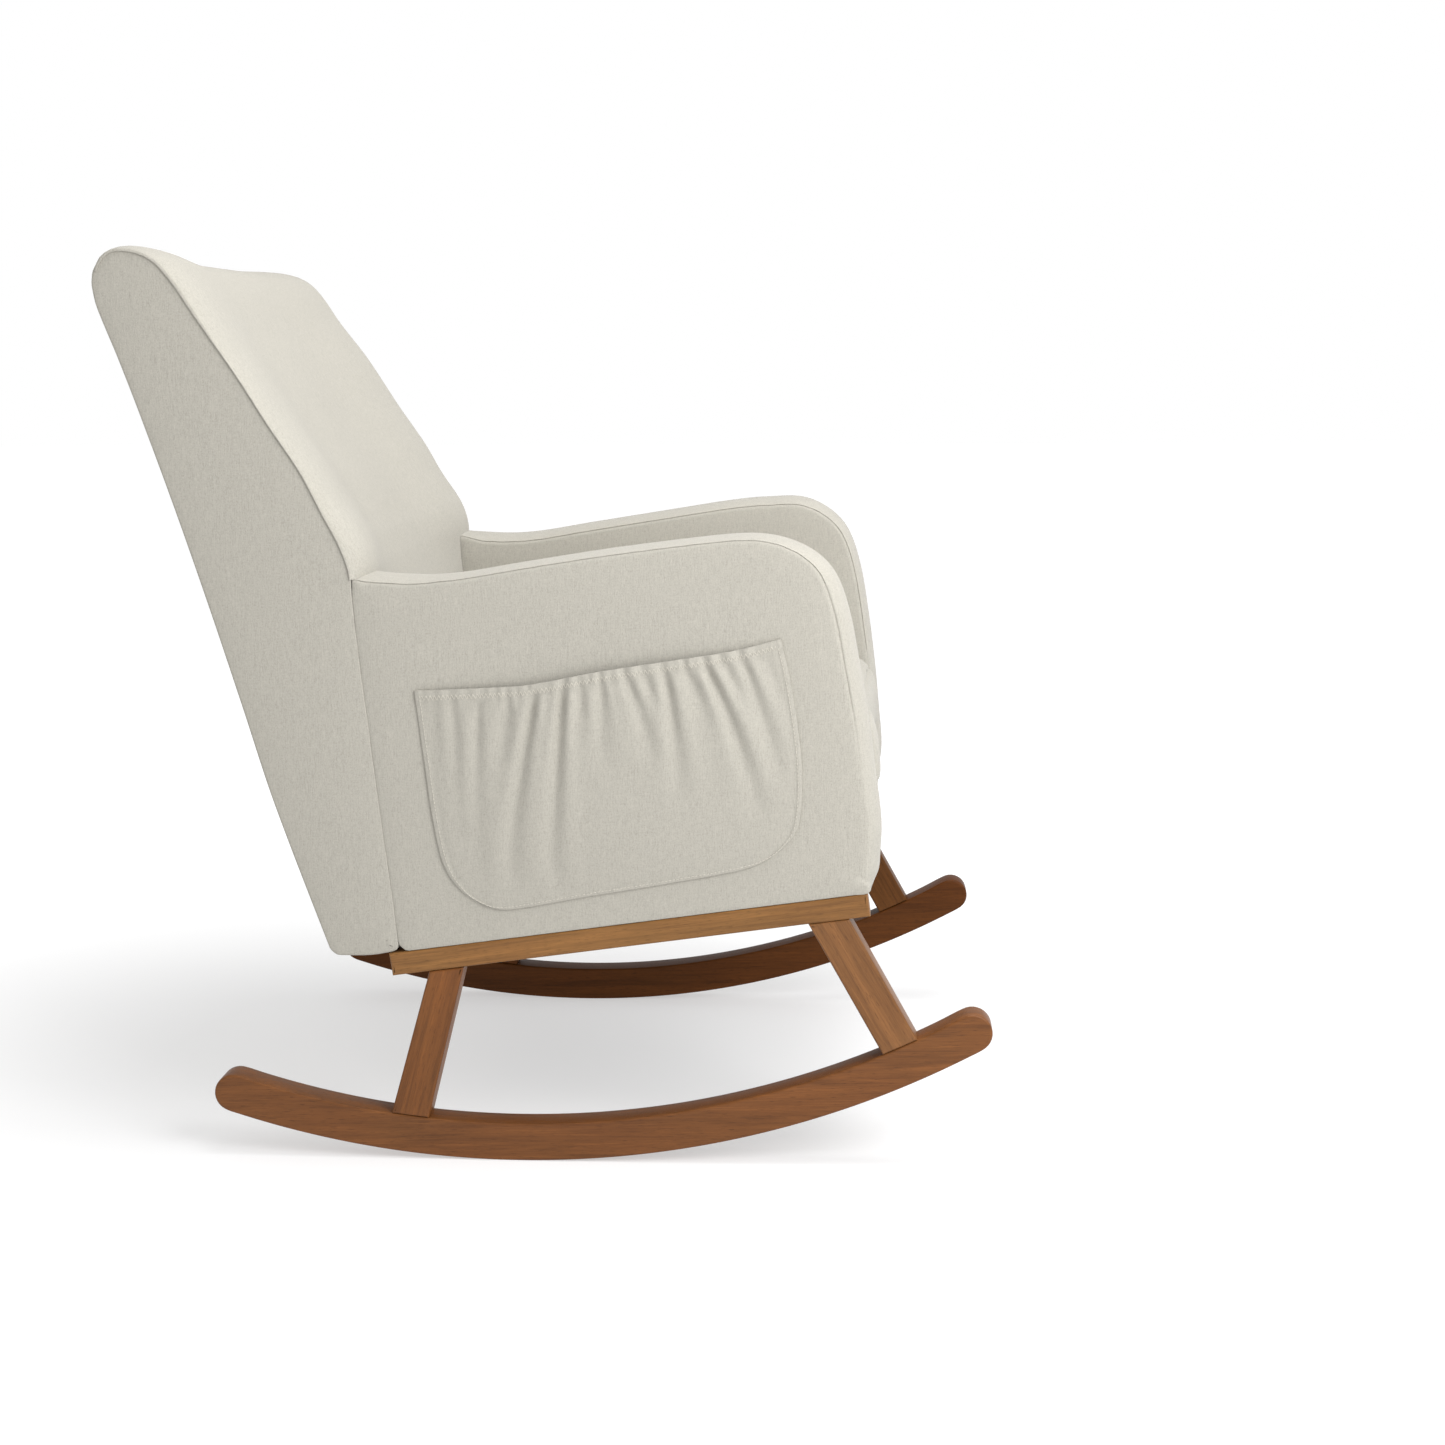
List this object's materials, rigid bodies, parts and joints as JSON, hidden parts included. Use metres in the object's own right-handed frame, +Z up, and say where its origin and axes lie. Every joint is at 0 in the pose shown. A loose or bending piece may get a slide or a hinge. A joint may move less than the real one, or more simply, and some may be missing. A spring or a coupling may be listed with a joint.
{
  "type": "upholstered nursery rocking chair",
  "caption": "Winged, high-backed upholstered rocking chair on two curved wooden rockers, with padded arms, gathered side pockets and a loose seat cushion.",
  "frame": {"origin": "on the floor under the middle of the chair's bounding box", "axes": "+Z up; the chair faces -Y; +X is the sitter's left"},
  "size_m": [0.693, 0.9425, 0.9845],
  "materials": {
    "stained_wood": "satin, medium walnut stain",
    "frame_wood": "raw hardwood and plywood",
    "steel": "zinc plated",
    "webbing": "woven jute",
    "lining": "non-woven black lining",
    "cover_fabric": "heathered linen-look weave over foam"
  },
  "bodies": {
    "chair": {"arm_board_left": "frame_wood", "arm_board_right": "frame_wood", "arm_bolt_front_left": "steel", "arm_bolt_front_right": "steel", "arm_bolt_rear_left": "steel", "arm_bolt_rear_right": "steel", "arm_pad_left": "cover_fabric", "arm_pad_right": "cover_fabric", "back_bolt_left": "steel", "back_bolt_right": "steel", "back_pad": "cover_fabric", "back_panel": "cover_fabric", "back_post_left": "frame_wood", "back_post_right": "frame_wood", "back_rail_low": "frame_wood", "back_rail_middle": "frame_wood", "back_rail_top": "frame_wood", "back_web_1": "webbing", "back_web_2": "webbing", "back_web_3": "webbing", "back_web_4": "webbing", "corner_block_front_left": "frame_wood", "corner_block_front_right": "frame_wood", "corner_block_rear_left": "frame_wood", "corner_block_rear_right": "frame_wood", "cross_rail_front": "stained_wood", "cross_rail_rear": "stained_wood", "dowel_front_foot_left": "frame_wood", "dowel_front_foot_right": "frame_wood", "dowel_front_head_left": "frame_wood", "dowel_front_head_right": "frame_wood", "dowel_rear_foot_left": "frame_wood", "dowel_rear_foot_right": "frame_wood", "dowel_rear_head_left": "frame_wood", "dowel_rear_head_right": "frame_wood", "dust_cover": "lining", "front_apron": "cover_fabric", "leg_front_left": "stained_wood", "leg_front_right": "stained_wood", "leg_rear_left": "stained_wood", "leg_rear_right": "stained_wood", "pocket_left": "cover_fabric", "pocket_right": "cover_fabric", "rocker_left": "stained_wood", "rocker_right": "stained_wood", "seat_frame_front": "frame_wood", "seat_frame_left": "frame_wood", "seat_frame_rear": "frame_wood", "seat_frame_right": "frame_wood", "seat_spring_1": "steel", "seat_spring_2": "steel", "seat_spring_3": "steel", "seat_spring_4": "steel", "side_rail_left": "stained_wood", "side_rail_right": "stained_wood", "spring_cover": "webbing", "wing_left": "cover_fabric", "wing_right": "cover_fabric"},
    "cushion": {"seat_cushion": "cover_fabric"}
  },
  "joints": [
    {"name": "seat_cushion_lift", "type": "slide", "parent": "chair", "child": "cushion", "axis": [0, 0, 1], "range_m": [0, 0.15]}
  ]
}
